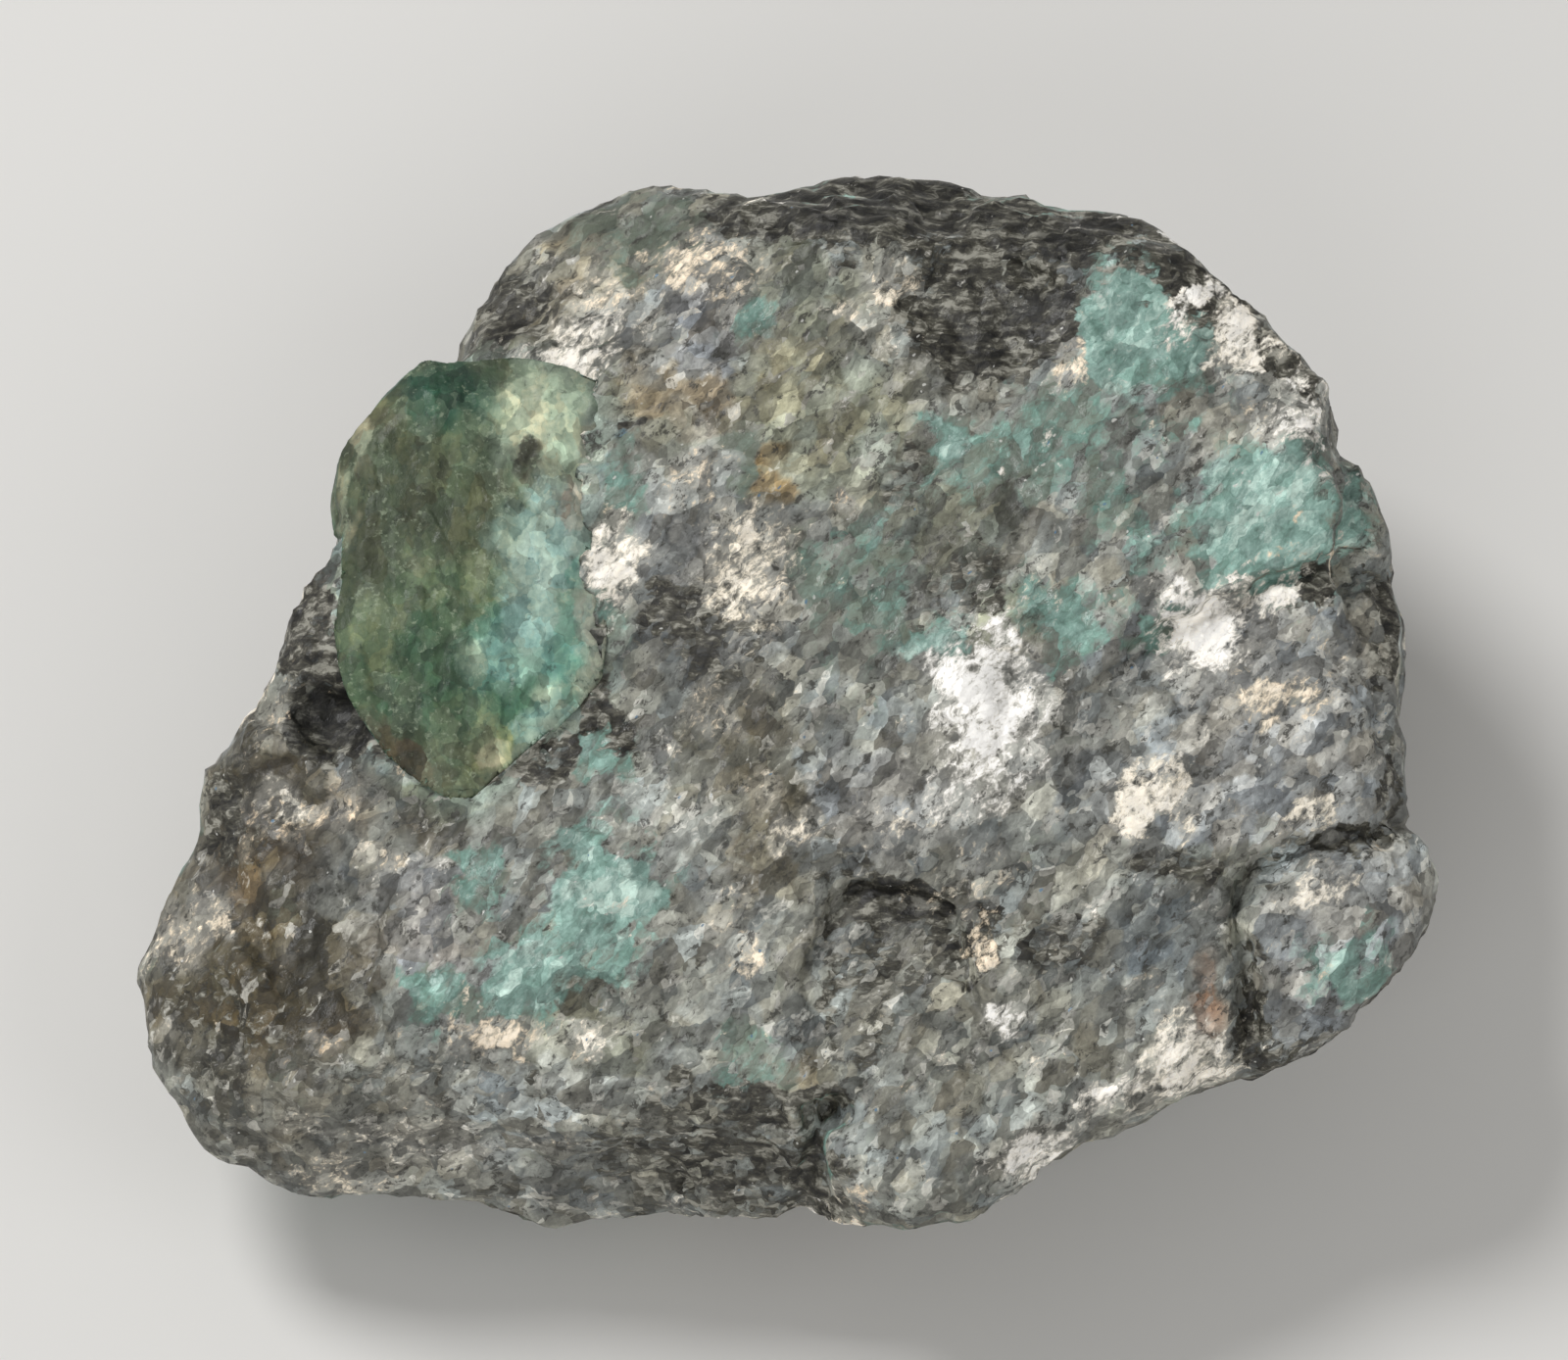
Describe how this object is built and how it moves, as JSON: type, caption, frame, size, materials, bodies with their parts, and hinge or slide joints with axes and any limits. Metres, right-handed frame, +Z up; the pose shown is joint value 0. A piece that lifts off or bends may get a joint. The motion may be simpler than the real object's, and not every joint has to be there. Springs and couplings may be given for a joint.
{
  "type": "rough emerald specimen",
  "caption": "Loose lump of quartz, feldspar and mica schist with a large rough emerald crystal set in it, resting on a small flat spot.",
  "frame": {"origin": "middle of the stone's footprint box, on the table it rests on", "axes": "+X to the right as the picture shows it, +Y away from the viewer, +Z up from the table"},
  "size_m": [0.1501, 0.1293, 0.0548],
  "materials": {
    "host_rock": "broken rock: grey quartz, cream and white feldspar, dark mica and small green beryl patches",
    "emerald": "rough green beryl, waxy and cloudy, from grey green to pale aqua"
  },
  "bodies": {
    "root": {"matrix": "host_rock", "large_emerald_crystal": "emerald"}
  },
  "joints": []
}
